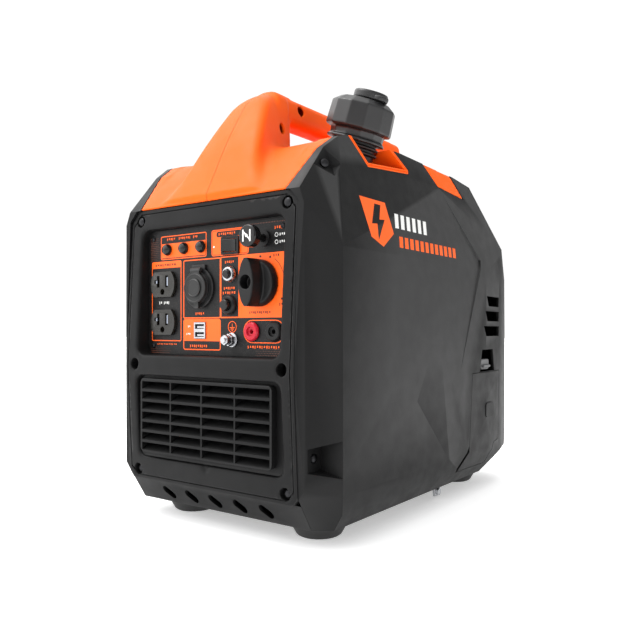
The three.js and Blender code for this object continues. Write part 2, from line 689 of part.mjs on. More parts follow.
function makeFiller() {
  const outer = prismX(FILLER_OUTLINE, RECESS_X, 135).intersect(HOUSING);
  const inner = prismX(inset(POCKET_OUTLINE, LIP), RECESS_X + 2.4, 160);
  const grooveRing = cut(
    prismX(inset(FILLER_OUTLINE, 1.7), RIM_X - 4, 160), prismX(inset(FILLER_OUTLINE, 2.7), RIM_X - 5, 161),
  );
  const groove = cut(grooveRing, housing(1.2));
  const neckHole = rod(26.5, onCapAxis(-70), onCapAxis(10), 24);
  piece('filler_recess', cut(outer, inner, groove, neckHole), ORANGE);

  const grommet = cut(
    rod(26, onCapAxis(-50), onCapAxis(-31), 24),
    rod(23.4, onCapAxis(-70), onCapAxis(10), 24),
    box(-20, 140, -120, 40, 300, 366.5),
  );
  piece('neck_grommet', grommet, RUBBER);

  const tankOutline = roundedRect(-98, 104, -152, 20, 18);
  const shell = prismZ(tankOutline, 300, 362);
  const cavity = prismZ(roundedRect(-95, 101, -149, 17, 15), 303, 359);
  const neck = turned([
    [0, -62], [23, -62], [23, -23.5], [26, -22.5], [26, -21], [23, -20], [23, -17.5],
    [26, -16.5], [26, -15], [23, -14], [23, -1], [0, -1],
  ], onCapAxis(0), capAxis, 24);
  const bore = rod(20, onCapAxis(-70), onCapAxis(10), 24);
  piece('fuel_tank', cut(join(shell, neck), cavity, bore), BLACK);

  const gasket = turned([
    [17, -6], [19.4, -6], [19.4, 0], [26, 0], [26, 3], [17, 3], [17, -6],
  ], onCapAxis(0), capAxis, 24);
  piece('cap_gasket', gasket, RUBBER);

  makeFuelCap();
}

// The cap has twelve flats outside and a round hollow inside.
function makeFuelCap() {
  const base = onCapAxis(0);
  const body = turned([
    [0, -12], [31, -11.5], [31, -9], [28.5, -7.5], [29, -1], [34, 0], [35.3, 1.5], [34, 25],
    [25.5, 31], [0, 31],
  ], base, capAxis, 12);
  const hollow = turned([
    [0, -30], [24, -30], [24, -9], [26.6, -7], [26.6, 3.4], [0, 3.4],
  ], base, capAxis, 24);
  piece('fuel_cap', cut(body, hollow, rod(5.4, onVentAxis(-1), onVentAxis(40))), BLACK);

  const knob = turned([
    [0, 12], [5, 12], [5, 31.6], [17, 31.6], [18.2, 33], [18.2, 38], [16.5, 40.5], [0, 41],
  ], onVentAxis(0), capAxis, 20);
  piece('vent_knob', knob, BLACK);
}

// ---------------------------------------------------------------- base, rear and feet

const VENT_XS = [-66, -33, 0, 33, 66];

// A slot with round ends, leaning down to the right.
function slantedSlot(x, z, halfRun, radius) {
  const angle = -THREE.MathUtils.degToRad(38);
  const [du, dv] = [halfRun * Math.cos(angle), halfRun * Math.sin(angle)];
  const shape = new THREE.Shape();
  shape.absarc(x + du, z + dv, radius, angle - Math.PI / 2, angle + Math.PI / 2);
  shape.absarc(x - du, z - dv, radius, angle + Math.PI / 2, angle + 1.5 * Math.PI);
  return shape;
}

function makeBase() {
  const region = box(-RIM_X, RIM_X, -230, 240, 0, BEZEL_BOTTOM - GAP);
  const tray = BAND.intersect(region);
  const vents = VENT_XS.map((x) => prismY(slantedSlot(x, 36.5, 4, 4.4), -230, -180));
  piece('base_tray', cut(tray, ...vents), BLACK);
  const feet = [['front', -146], ['rear', 152]];
  for (const [end, y] of feet) {
    for (const [side, x] of [['right', 86], ['left', -86]]) {
      const height = HOUSING_BOTTOM - GROUND_Z - GAP;
      const profile = [[0, 0], [20, 0], [22.5, 2], [27, 10], [28, height], [0, height]];
      piece(`foot_${end}_${side}`, turned(profile, [x, y, GROUND_Z], [0, 0, 1], 24), RUBBER);
    }
  }
  const tab = join(
    box(118, 121, 31, 45, 12, HOUSING_BOTTOM - GAP),
    rod(4.5, [116, 38, 17], [123.5, 38, 17], 6),
  );
  piece('drain_tab', tab, STEEL);
}

const EXHAUST = [-42, 214];

function makeRear() {
  const region = box(-RIM_X, RIM_X, DECK_END_Y, 240, BEZEL_BOTTOM, 400);
  const slots = [];
  for (let z = 76; z < 150; z += 12) slots.push(box(-70, 70, 200, 240, z, z + 6));
  const hole = rod(27, [EXHAUST[0], 180, EXHAUST[1]], [EXHAUST[0], 260, EXHAUST[1]], 32);
  const legClearance = leg(
    REAR_LEG.map(([w, y, z]) => [w + 0.6, y + 0.8, z - 1]), LEG_MIDDLE.rear, 0,
  );
  piece('rear_panel', cut(BAND.intersect(region), hole, legClearance, ...slots), CHARCOAL);
  const [x, z] = EXHAUST;
  const outlet = turned([
    [0, 8], [17, 8], [17, 39], [24, 39], [26, 41], [26, 45], [22, 45.5], [16, 44], [14, 36],
    [14, 12], [0, 12],
  ], [x, 180.3, z], [0, 1, 0], 24);
  piece('spark_arrestor', outlet, DARK_STEEL);
  const muffler = join(
    prismY(roundedRect(-98, 16, 176, 262, 30), 92, 176, 5),
    rod(17, [x, 170, z], [x, 187.8, z]),
    rod(12, [-20, 60.4, 238], [-20, 95, 238]),
  );
  piece('muffler', muffler, DARK_STEEL);
}

// ---------------------------------------------------------------- engine and generator

function makeEngine() {
  const block = prismY(roundedRect(-58, 58, 80, 205, 14), -52, 60);
  const chamber = rod(47, [0, -44, CRANK_Z], [0, 52, CRANK_Z]);
  const shaftBore = rod(11, [0, -80, CRANK_Z], [0, 0, CRANK_Z]);
  const bore = rod(26, [0, 10, CRANK_Z], [0, 10, 220]);
  const arm = box(50, 96, 90, 126, 88, 118);
  const armRoot = box(40, 62, 40, 126, 88, 118);
  const fill = rod(8.4, [60, 110, 104], [120, 110, 104]);
  const crankcase = cut(join(block, arm, armRoot), chamber, shaftBore, bore, fill);
  piece('crankcase', crankcase, CAST);

  const fins = [];
  for (let z = 212; z < 258; z += 12) fins.push(rod(44, [0, 10, z], [0, 10, z + 3], 16));
  const barrel = rod(36, [0, 10, 205.3], [0, 10, 262], 16);
  piece('cylinder', cut(join(barrel, ...fins), rod(26, [0, 10, 200], [0, 10, 270])), ALUMINIUM);
  const head = prismZ(roundedRect(-42, 42, -30, 48, 10), 262.3, 281);
  const cover = prismZ(roundedRect(-36, 36, -24, 42, 10), 280, 295);
  piece('valve_cover', join(head, cover), DARK_STEEL);
  const plug = turned([
    [0, 0], [5, 0], [5, 4], [9, 4], [9, 12], [6, 14], [8, 16], [8, 36], [0, 36],
  ], [20, 48.3, 271], [0, 1, 0], 16);
  piece('spark_plug', plug, BLACK);

  const shaft = join(
    rod(10, [0, -108, CRANK_Z], [0, -30, CRANK_Z]),
    rod(38, [0, -34, CRANK_Z], [0, -22, CRANK_Z]),
    rod(9, [0, -24, CRANK_Z + 20], [0, 18, CRANK_Z + 20]),
    rod(38, [0, 16, CRANK_Z], [0, 28, CRANK_Z]),
    rod(10, [0, 26, CRANK_Z], [0, 51, CRANK_Z]),
  );
  piece('crankshaft', shaft, STEEL);
}

function makeRotor() {
  const cup = turned([
    [10.3, 0], [26, 0], [26, 4], [70, 6], [70, 42], [64, 42], [64, 12], [20, 10], [20, 34],
    [10.3, 34], [10.3, 0],
  ], [0, -104, CRANK_Z], [0, 1, 0], 24);
  const blades = [];
  const count = 10;
  for (let i = 0; i < count; i += 1) {
    const angle = (i / count) * 2 * Math.PI;
    const blade = new THREE.BoxGeometry(26, 12, 2.4).translate(52, 0, 0).rotateY(angle);
    blades.push(solid(blade.translate(0, -104, CRANK_Z)));
  }
  piece('rotor_fan', join(cup, ...blades), CAST);
  const core = turned([
    [22, 0], [48, 0], [48, 22], [22, 22], [22, 0],
  ], [0, -88, CRANK_Z], [0, 1, 0]);
  const poles = [];
  const poleCount = 9;
  for (let i = 0; i < poleCount; i += 1) {
    const angle = ((i + 0.5) / poleCount) * 2 * Math.PI;
    const pole = new THREE.BoxGeometry(18, 18, 12).translate(52, 0, 0).rotateY(angle);
    poles.push(solid(pole.translate(0, -77, CRANK_Z)));
  }
  const stay = cut(
    rod(30, [0, -68, CRANK_Z], [0, -52.3, CRANK_Z]),
    rod(22, [0, -80, CRANK_Z], [0, -50, CRANK_Z]),
  );
  piece('stator', join(core, stay, ...poles), COPPER);
}

function makeRecoil() {
  const housingShell = turned([
    [10, 0], [60, 0], [80, 14], [80, 40], [77, 40], [77, 16], [58, 3], [10, 3], [10, 0],
  ], [0, -150, CRANK_Z], [0, 1, 0], 24);
  const windows = [];
  const count = 8;
  for (let i = 0; i < count; i += 1) {
    const angle = ((i + 0.5) / count) * 2 * Math.PI;
    const form = new THREE.BoxGeometry(16, 20, 14).translate(48, 0, 0).rotateY(angle);
    windows.push(solid(form.translate(0, -150, CRANK_Z)));
  }
  const ropeExit = box(-90, -60, -127, -115, GRIP_Z - 4, GRIP_Z + 4);
  piece('recoil_housing', cut(housingShell, ropeExit, ...windows), BLACK);
  const pulley = turned([
    [0, 0], [36, 0], [36, 2], [33, 4], [33, 10], [36, 12], [36, 14], [0, 14],
  ], [0, -138, CRANK_Z], [0, 1, 0]);
  piece('recoil_pulley', pulley, BLACK);
  const grip = join(
    prismX(roundedRect(GRIP_Y - 28, GRIP_Y + 28, GRIP_Z - 7, GRIP_Z + 7, 6), -SIDE_X - 3.5, -SIDE_X - 0.4),
    rod(5.5, [-SIDE_X - 1, GRIP_Y, GRIP_Z], [-SIDE_X + 14, GRIP_Y, GRIP_Z], 16),
  );
  piece('recoil_grip', grip, BLACK);
}

function makeAccessories() {
  const throat = rod(13, [-104, 12, 236], [-48, 12, 236]);
  const bowl = rod(16, [-78, 12, 206], [-78, 12, 246]);
  piece('carburettor', join(throat, bowl), ALUMINIUM);
  const filter = prismX(roundedRect(-26, 80, 150, 262, 10), -138, -104.4);
  piece('air_filter_box', filter, BLACK);
  const fins = [];
  for (let x = -76; x < 80; x += 12) fins.push(box(x, x + 8, -180, -160, 60, 180));
  piece('inverter_module', cut(box(-84, 84, -199, -168, 66, 168), ...fins), ALUMINIUM);
  const dipstick = turned([
    [0, 0], [12, 0], [14, 2], [14, 12], [8, 12], [8, 20], [2.5, 20], [2.5, 46], [0, 46],
  ], [114, 110, 104], [-1, 0, 0], 16);
  const wing = box(112, 122, 107.5, 112.5, 92, 116);
  piece('oil_dipstick', join(dipstick, wing), ORANGE);
  const posts = [-48, 48].flatMap((x) => [-30, 84].map((y) => rod(12, [x, y, 28.4], [x, y, 73], 16)));
  piece('engine_bed', join(box(-66, 66, -48, 104, 72, 79.6), ...posts), DARK_STEEL);
}

makeSideCovers();
makeDoors();
makeBezel();
makeGrille();
makePanel();
makeOutlets();
makeDcSocket();
makeUsb();
makeLamps();
makeButton('reset_breaker', 'reset_button', RESET,
  { neck: 6, radius: 8, height: 5 }, { radius: 4.2, height: 8 }, STEEL);
makeButton('dc_breaker', 'dc_breaker_button', BREAKER,
  { neck: 7, radius: 9.5, height: 4.5 }, { radius: 5.4, height: 9 }, BLACK);
makeRocker();
makeKnobs();
makeTerminals();
makeHandle();
makeFiller();
makeBase();
makeRear();
makeEngine();
makeRotor();
makeRecoil();
makeAccessories();

// The ground lies at z = 0 once the whole machine is set down by the height of its feet.
const standing = new THREE.Group();
generator.position.z = -GROUND_Z;
standing.add(generator);

export default standing;
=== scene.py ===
"""Looks of a portable inverter generator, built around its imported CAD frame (metres)."""

import math

import bmesh
import bpy
import numpy as np
from mathutils import Matrix, Vector


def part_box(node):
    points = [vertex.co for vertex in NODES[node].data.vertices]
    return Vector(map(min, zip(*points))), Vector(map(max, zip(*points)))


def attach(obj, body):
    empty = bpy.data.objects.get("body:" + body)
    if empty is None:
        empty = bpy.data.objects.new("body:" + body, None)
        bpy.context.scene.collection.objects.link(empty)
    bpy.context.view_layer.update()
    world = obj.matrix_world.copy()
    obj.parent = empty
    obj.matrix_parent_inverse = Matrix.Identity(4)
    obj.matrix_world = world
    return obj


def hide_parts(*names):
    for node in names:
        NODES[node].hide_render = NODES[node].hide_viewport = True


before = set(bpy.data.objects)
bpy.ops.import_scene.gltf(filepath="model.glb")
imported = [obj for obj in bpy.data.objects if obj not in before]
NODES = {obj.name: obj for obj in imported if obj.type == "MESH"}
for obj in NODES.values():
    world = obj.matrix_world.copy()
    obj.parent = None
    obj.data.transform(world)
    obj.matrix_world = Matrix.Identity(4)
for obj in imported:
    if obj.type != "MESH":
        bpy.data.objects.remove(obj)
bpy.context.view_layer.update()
MM = 0.001


# ---------------------------------------------------------------- materials

RUBBED_GREY = 0.5
RUBBED_SHARE = 0.12


def tree_of(name):
    """A new material, its node tree and its surface shader."""
    material = bpy.data.materials.new(name)
    material.use_nodes = True
    tree = material.node_tree
    shader = next(n for n in tree.nodes if n.type == "BSDF_PRINCIPLED")
    return material, tree, shader


def noise(tree, scale, detail=4.0, stretch=None):
    """Noise in the object's own metres, optionally stretched along its axes."""
    coordinates = tree.nodes.new("ShaderNodeTexCoord")
    texture = tree.nodes.new("ShaderNodeTexNoise")
    texture.inputs["Scale"].default_value = scale
    texture.inputs["Detail"].default_value = detail
    source = coordinates.outputs["Object"]
    if stretch:
        mapping = tree.nodes.new("ShaderNodeMapping")
        mapping.inputs["Scale"].default_value = stretch
        tree.links.new(source, mapping.inputs["Vector"])
        source = mapping.outputs["Vector"]
    tree.links.new(source, texture.inputs["Vector"])
    return texture.outputs["Fac"]


def mapped(tree, value, low, high, start=0.3, end=0.7):
    """A noise value spread from `low` to `high`."""
    node = tree.nodes.new("ShaderNodeMapRange")
    node.inputs["From Min"].default_value = start
    node.inputs["From Max"].default_value = end
    node.inputs["To Min"].default_value = low
    node.inputs["To Max"].default_value = high
    tree.links.new(value, node.inputs["Value"])
    return node.outputs["Result"]


def mixed(tree, factor, a, b):
    """Colour a where factor is 0, colour b where it is 1."""
    node = tree.nodes.new("ShaderNodeMix")
    node.data_type = "RGBA"
    tree.links.new(factor, node.inputs["Factor"])
    for socket, colour in ((node.inputs["A"], a), (node.inputs["B"], b)):
        if isinstance(colour, bpy.types.NodeSocket):
            tree.links.new(colour, socket)
        else:
            socket.default_value = (*colour, 1)
    return node.outputs["Result"]


def bumped(tree, shader, height, strength, distance):
    """Gives the shader a relief that follows a height value."""
    node = tree.nodes.new("ShaderNodeBump")
    node.inputs["Strength"].default_value = strength
    node.inputs["Distance"].default_value = distance
    tree.links.new(height, node.inputs["Height"])
    tree.links.new(node.outputs["Normal"], shader.inputs["Normal"])


def worn_edges(tree):
    """1 on outside edges, 0 elsewhere."""
    geometry = tree.nodes.new("ShaderNodeNewGeometry")
    return mapped(tree, geometry.outputs["Pointiness"], 0.0, 1.0, 0.53, 0.60)


def moulding(name, colour, rough, grain=0.25, grain_size=1.2, mottle=0.10, wear=0.35, shine=0.5):
    """Moulded plastic: spark-eroded grain, faint mottling, paler rubbed edges."""
    material, tree, shader = tree_of(name)
    shader.inputs["Specular IOR Level"].default_value = shine
    darker = [c * (1 - mottle) for c in colour]
    lighter = [c * (1 + mottle) for c in colour]
    rubbed = [c + (RUBBED_GREY - c) * RUBBED_SHARE * wear for c in colour]
    cloud = mixed(tree, mapped(tree, noise(tree, 14, 5), 0, 1), darker, lighter)
    tree.links.new(mixed(tree, worn_edges(tree), cloud, rubbed), shader.inputs["Base Color"])
    smudges = mapped(tree, noise(tree, 60, 4), rough - 0.05, rough + 0.06)
    tree.links.new(smudges, shader.inputs["Roughness"])
    bumped(tree, shader, noise(tree, 1 / (grain_size * MM), 2), grain, 0.12 * MM)
    return material


def metal(name, colour, rough, brush=(1, 1, 1), bump=0.08):
    """Metal with a fine brushed or cast surface and cloudy tarnish."""
    material, tree, shader = tree_of(name)
    shader.inputs["Metallic"].default_value = 1.0
    dull = [c * 0.78 for c in colour]
    tree.links.new(mixed(tree, mapped(tree, noise(tree, 90, 5), 0, 1), dull, colour),
                   shader.inputs["Base Color"])
    lines = noise(tree, 700, 3, brush)
    tree.links.new(mapped(tree, lines, rough - 0.08, rough + 0.12), shader.inputs["Roughness"])
    bumped(tree, shader, lines, bump, 0.05 * MM)
    return material


def speckled(name, colour, fleck):
    """The panel's dark printed film with fine flecks."""
    material, tree, shader = tree_of(name)
    flecks = mapped(tree, noise(tree, 1500, 2), 0, 1, 0.58, 0.68)
    tree.links.new(mixed(tree, flecks, colour, fleck), shader.inputs["Base Color"])
    shader.inputs["Specular IOR Level"].default_value = 0.2
    tree.links.new(mapped(tree, noise(tree, 200, 3), 0.38, 0.5), shader.inputs["Roughness"])
    bumped(tree, shader, noise(tree, 1500, 2), 0.15, 0.05 * MM)
    return material


CHARCOAL = moulding("charcoal_plastic", (0.0070, 0.0070, 0.0072), 0.50,
                    grain=0.6, wear=0.5, shine=0.13)
TRAY_BLACK = moulding("tray_plastic", (0.0055, 0.0055, 0.0057), 0.55,
                      grain=0.4, wear=0.4, shine=0.12)
ORANGE = moulding("orange_plastic", (0.92, 0.112, 0.005), 0.48, grain=0.1, grain_size=2.5,
                  mottle=0.03, wear=0.1, shine=0.12)
CAP_BLACK = moulding("cap_plastic", (0.010, 0.010, 0.0105), 0.36, grain=0.3, wear=0.7, shine=0.45)
SATIN_BLACK = moulding("satin_black_plastic", (0.006, 0.006, 0.0063), 0.40,
                       grain=0.3, wear=0.5, shine=0.22)
GLOSS_BLACK = moulding("gloss_black_plastic", (0.004, 0.004, 0.004), 0.16,
                       grain=0.03, wear=0.2, shine=0.35)
BROWN_BLACK = moulding("outlet_plastic", (0.011, 0.010, 0.0075), 0.24,
                       grain=0.04, wear=0.4, shine=0.35)
RUBBER = moulding("black_rubber", (0.008, 0.008, 0.008), 0.45,
                  grain=0.3, grain_size=0.8, wear=0.5, shine=0.3)
SOLE = moulding("foot_rubber", (0.014, 0.014, 0.014), 0.6, grain=0.5, grain_size=0.9, wear=0.5)
RED = moulding("red_plastic", (0.44, 0.010, 0.026), 0.28,
               grain=0.05, mottle=0.05, wear=0.1, shine=0.25)
GREY = moulding("grey_plastic", (0.085, 0.085, 0.088), 0.45, grain=0.2, wear=0.4)
GREEN = moulding("green_print", (0.02, 0.16, 0.06), 0.4, grain=0.1, wear=0.0)
CHROME = metal("plated_steel", (0.50, 0.51, 0.53), 0.22)
SCREW = metal("screw_steel", (0.030, 0.030, 0.032), 0.34)
CONTACT = metal("contact_steel", (0.34, 0.37, 0.44), 0.24)
DARK_STEEL = metal("dark_steel", (0.20, 0.19, 0.185), 0.42)
ALLOY = metal("machined_alloy", (0.66, 0.67, 0.69), 0.32, (1, 1, 8))
CAST = metal("cast_alloy", (0.42, 0.43, 0.44), 0.5, bump=0.5)
WINDING = metal("copper_winding", (0.62, 0.26, 0.10), 0.35, (1, 14, 1), bump=0.6)
FILM_BLACK, FILM_FLECK = (0.006, 0.006, 0.0063), (0.028, 0.024, 0.023)
PANEL = speckled("panel_film", FILM_BLACK, FILM_FLECK)
PRINT_ORANGE = moulding("orange_print", (0.95, 0.115, 0.005), 0.45,
                        grain=0.1, mottle=0.03, wear=0.0, shine=0.3)
PRINT_WHITE = moulding("white_print", (0.78, 0.78, 0.76), 0.45, grain=0.1, mottle=0.03, wear=0.0)
PRINT_BLACK = speckled("black_print", FILM_BLACK, FILM_FLECK)
PRINT_RUST = moulding("rust_print", (0.16, 0.045, 0.022), 0.5, grain=0.1, mottle=0.2, wear=0.0)


# ---------------------------------------------------------------- mesh helpers

SHARP_ANGLE = 35


def new_object(name, mesh):
    """An object in the scene that shows a mesh."""
    obj = bpy.data.objects.new(name, mesh)
    bpy.context.scene.collection.objects.link(obj)
    return obj


def finish_piece(obj, material, body="machine", replaces=()):
    """Gives a piece its material, and says what it rides and which nodes it stands for."""
    obj.data.materials.clear()
    obj.data.materials.append(material)
    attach(obj, body)
    if replaces:
        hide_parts(*replaces)
    return obj


def from_bmesh(name, bm, smooth_angle=SHARP_ANGLE):
    """An object made of a bmesh, smooth except at edges sharper than the angle."""
    bmesh.ops.recalc_face_normals(bm, faces=bm.faces)
    mesh = bpy.data.meshes.new(name)
    bm.to_mesh(mesh)
    bm.free()
    mesh.shade_smooth()
    mesh.set_sharp_from_angle(angle=math.radians(smooth_angle))
    return new_object(name, mesh)


def evaluated(obj, name):
    """A new object holding this one's mesh with its modifiers applied; the old one goes."""
    bpy.context.view_layer.update()
    depsgraph = bpy.context.evaluated_depsgraph_get()
    mesh = bpy.data.meshes.new_from_object(obj.evaluated_get(depsgraph))
    mesh.name = name
    bpy.data.objects.remove(obj)
    return new_object(name, mesh)


def remeshed(name, meshes, voxel):
    """Solids joined as one skin of small even faces."""
    bm = bmesh.new()
    for mesh in meshes:
        bm.from_mesh(mesh)
    joined = bpy.data.meshes.new(name)
    bm.to_mesh(joined)
    bm.free()
    joined.materials.clear()
    obj = new_object(name + "_rough", joined)
    remesh = obj.modifiers.new("remesh", "REMESH")
    remesh.mode = "VOXEL"
    remesh.voxel_size = voxel
    return evaluated(obj, name)


def relax(obj, passes, weight):
    """Moves each vertex towards its neighbours' mean, by weight(coordinates) each pass."""
    mesh = obj.data
    count = len(mesh.vertices)
    flat = np.empty(count * 3)
    mesh.vertices.foreach_get("co", flat)
    co = flat.reshape(-1, 3)
    ends = np.empty(len(mesh.edges) * 2, np.int64)
    mesh.edges.foreach_get("vertices", ends)
    a, b = ends.reshape(-1, 2).T
    degree = np.maximum(np.bincount(np.concatenate((a, b)), minlength=count), 1)[:, None]
    pull = 0.5 * weight(co)[:, None]
    for _ in range(passes):
        total = np.stack([
            np.bincount(a, co[b, k], count) + np.bincount(b, co[a, k], count) for k in range(3)
        ], axis=1)
        co = co + pull * (total / degree - co)
    mesh.vertices.foreach_set("co", co.ravel())
    mesh.update()


def everywhere(co):
    """A weight of 1 at each point."""
    return np.ones(len(co))


def ramp(value, start, end):
    """0 below start, 1 above end, smooth between."""
    t = np.clip((value - start) / (end - start), 0, 1)
    return t * t * (3 - 2 * t)


def thin_out(obj, ratio):
    """Keeps this share of the object's faces."""
    decimate = obj.modifiers.new("decimate", "DECIMATE")
    decimate.ratio = ratio
    thinned = evaluated(obj, obj.name)
    thinned.data.shade_smooth()
    return thinned


def rounded_edges(node, width, material, angle=32, segments=2):
    """A CAD node keeps its mesh; modifiers round its edges."""
    obj = NODES[node]
    weld = obj.modifiers.new("weld", "WELD")
    weld.merge_threshold = 0.005 * MM
    flat = obj.modifiers.new("flat", "DECIMATE")
    flat.decimate_type = "DISSOLVE"
    flat.angle_limit = math.radians(1)
    bevel = obj.modifiers.new("bevel", "BEVEL")
    bevel.width = width
    bevel.segments = segments
    bevel.limit_method = "ANGLE"
    bevel.angle_limit = math.radians(angle)
    bevel.harden_normals = True
    obj.data.shade_smooth()
    normals = obj.modifiers.new("normals", "WEIGHTED_NORMAL")
    normals.keep_sharp = True
    obj.data.materials.clear()
    obj.data.materials.append(material)
    return obj


def standing(base, direction):
    """Turns a shape that stands on the origin along +Z to stand on `base` along `direction`."""
    turn = Vector((0, 0, 1)).rotation_difference(Vector(direction)).to_matrix().to_4x4()
    return Matrix.Translation(base) @ turn


def lathe(name, profile, base, direction, segments=48):
    """A turned body: (radius, height) profile stood on `base` along `direction`."""
    bm = bmesh.new()
    rings = []
    for radius, height in profile:
        if radius < 1e-7:
            rings.append([bm.verts.new((0, 0, height))])
        else:
            rings.append([
                bm.verts.new((radius * math.cos(t), radius * math.sin(t), height))
                for t in (2 * math.pi * i / segments for i in range(segments))
            ])
    for low, high in zip(rings, rings[1:]):
        for i in range(segments):
            j = (i + 1) % segments
            corners = [low[i % len(low)], low[j % len(low)], high[j % len(high)], high[i % len(high)]]
            unique = list(dict.fromkeys(corners))
            if len(unique) > 2:
                bm.faces.new(unique)
    bmesh.ops.transform(bm, matrix=standing(base, direction), verts=bm.verts)
    return from_bmesh(name, bm)


def block(bm, low, high):
    """Adds a box between two corners."""
    made = bmesh.ops.create_cube(bm, size=1)["verts"]
    low, high = Vector(low), Vector(high)
    scale = Matrix.Diagonal((*(high - low), 1))
    bmesh.ops.transform(bm, matrix=Matrix.Translation((low + high) / 2) @ scale, verts=made)


def carve(obj, cutter, solver="EXACT"):
    """Cuts one object out of another and deletes the cutter."""
    cut = obj.modifiers.new("cut", "BOOLEAN")
    cut.operation = "DIFFERENCE"
    cut.solver = solver
    cut.object = cutter
    result = evaluated(obj, obj.name)
    bpy.data.objects.remove(cutter)
    result.data.shade_smooth()
    result.data.set_sharp_from_angle(angle=math.radians(SHARP_ANGLE))
    return result


def screw(name, at, direction, r):
    """A domed screw head of radius `r` with a cross recess."""
    head = lathe(name, [
        (0, -0.6 * r), (0.96 * r, -0.6 * r), (r, -0.1 * r), (0.93 * r, 0.22 * r),
        (0.7 * r, 0.42 * r), (0.35 * r, 0.52 * r), (0, 0.55 * r),
    ], (0, 0, 0), (0, 0, 1), 32)
    reach, half_slot = 0.58 * r, 0.12 * r
    bm = bmesh.new()
    block(bm, (-reach, -half_slot, half_slot), (reach, half_slot, r))
    block(bm, (-half_slot, -reach, half_slot), (half_slot, reach, r))
    head = carve(head, from_bmesh(name + "_cross", bm))
    head.data.transform(standing(at, direction))
    return finish_piece(head, SCREW)


# ---------------------------------------------------------------- housing shells

GROUND = 6.5
WALL = 3
RIM_X = 113
HOOD_FRONT_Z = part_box("handle_right")[0].z
GRIP_TOP_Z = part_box("handle_right")[1].z


def mm(x, y, z):
    """A point of the drawing, which measures z from 6.5 mm below the ground line."""
    return Vector((x * MM, y * MM, (z - GROUND) * MM))


# Where the two screws sink into the handle's seam, as (y, z), mm
SCREW_HOLES = ((-87, 445), (-126, 416))
SCREW_HOLE_RADIUS = 4.9
# The hood's outline in the (y, z) plane from the grip's foot to the bezel, mm
HOOD_LINE = ((-40, 394), (-138, 391), (-159, 385.5), (-178, 371.5), (-213, 329))
# How far forward the pylon's middle and how wide its face is, as curves over the height z, mm
PYLON_FRONT = np.polyfit((330, 345, 378, 418, 446), (-213, -208, -192, -169, -151), 2)
PYLON_WIDTH = np.polyfit((351, 367, 384, 405, 424, 437, 448), (55, 50, 45, 38, 31, 27, 22), 2)
PYLON_BACK, PYLON_TOP, FACE_BULGE = -107, 457, 3.5
GRIP_HALF_WIDTH, GRIP_HALF_HEIGHT, GRIP_ROUND, GRIP_MIDDLE_Z, GRIP_FRONT = 18, 14.5, 12, 442.5, -126


def blend_max(a, b, radius):
    """The larger of two distances, rounded where they meet."""
    overlap = np.maximum(radius - np.abs(a - b), 0) / radius
    return np.maximum(a, b) + overlap * overlap * radius / 4


def hood_distance(co):
    """How far each point, in mm, lies outside the hood's front: its cover, pylon and grip."""
    x, y, z = np.abs(co[:, 0]), co[:, 1], co[:, 2]
    cover = np.full(len(co), -1e3)
    for (y0, z0), (y1, z1) in zip(HOOD_LINE, HOOD_LINE[1:]):
        length = math.hypot(y1 - y0, z1 - z0)
        cover = blend_max(cover, ((z1 - z0) * (y - y0) - (y1 - y0) * (z - z0)) / length, 6)
    front = np.polyval(PYLON_FRONT, z)
    width = np.polyval(PYLON_WIDTH, z)
    face = (front + FACE_BULGE * (x / width) ** 2 - y) * 0.86
    back = np.clip((y - front) / (PYLON_BACK - front), 0, 1)
    wall = (x - width - (GRIP_HALF_WIDTH - width) * back) * 0.8
    pylon = blend_max(blend_max(face, wall, 9), z - PYLON_TOP, 26)
    corner_x = x - (GRIP_HALF_WIDTH - GRIP_ROUND)
    corner_z = np.abs(z - GRIP_MIDDLE_Z) - (GRIP_HALF_HEIGHT - GRIP_ROUND)
    grip = np.hypot(np.maximum(corner_x, 0), np.maximum(corner_z, 0)) - GRIP_ROUND
    grip = blend_max(grip, GRIP_FRONT - y, 4)
    raised = -blend_max(-pylon, -grip, 10)
    return -blend_max(-cover, -raised, 12)


def hood_slope(co):
    """The hood distance's gradient, by small steps."""
    step = 0.2
    return np.stack([
        (hood_distance(co + step * axis) - hood_distance(co - step * axis)) / (2 * step)
        for axis in np.eye(3)
    ], axis=1)


def fair_front(hood):
    """Draws the hood's outer skin onto its flowing shape and keeps its inner skin a wall inside."""
    mesh = hood.data
    flat = np.empty(len(mesh.vertices) * 3)
    mesh.vertices.foreach_get("co", flat)
    co = flat.reshape(-1, 3) / MM + (0, 0, GROUND)
    mesh.vertices.foreach_get("normal", flat)
    normal = flat.reshape(-1, 3)
    facing = np.einsum("ij,ij->i", normal, hood_slope(co))
    x, y, z = np.abs(co[:, 0]), co[:, 1], co[:, 2]
    share = (1 - ramp(x, 84, 95)) * ramp(z, 332, 340) * (1 - ramp(y, -120, -110))
    for _ in range(4):
        away = hood_distance(co)
        slope = hood_slope(co)
        steep = np.maximum((slope * slope).sum(axis=1), 0.3)
        inner = np.maximum(away + WALL, 0)
        wanted = np.where(facing > 0.1, away, np.where(facing < -0.1, inner, 0))
        shift = np.clip(share * wanted, -5, 5) / steep
        co = co - shift[:, None] * slope
    mesh.vertices.foreach_set("co", ((co - (0, 0, GROUND)) * MM).ravel())
    mesh.update()


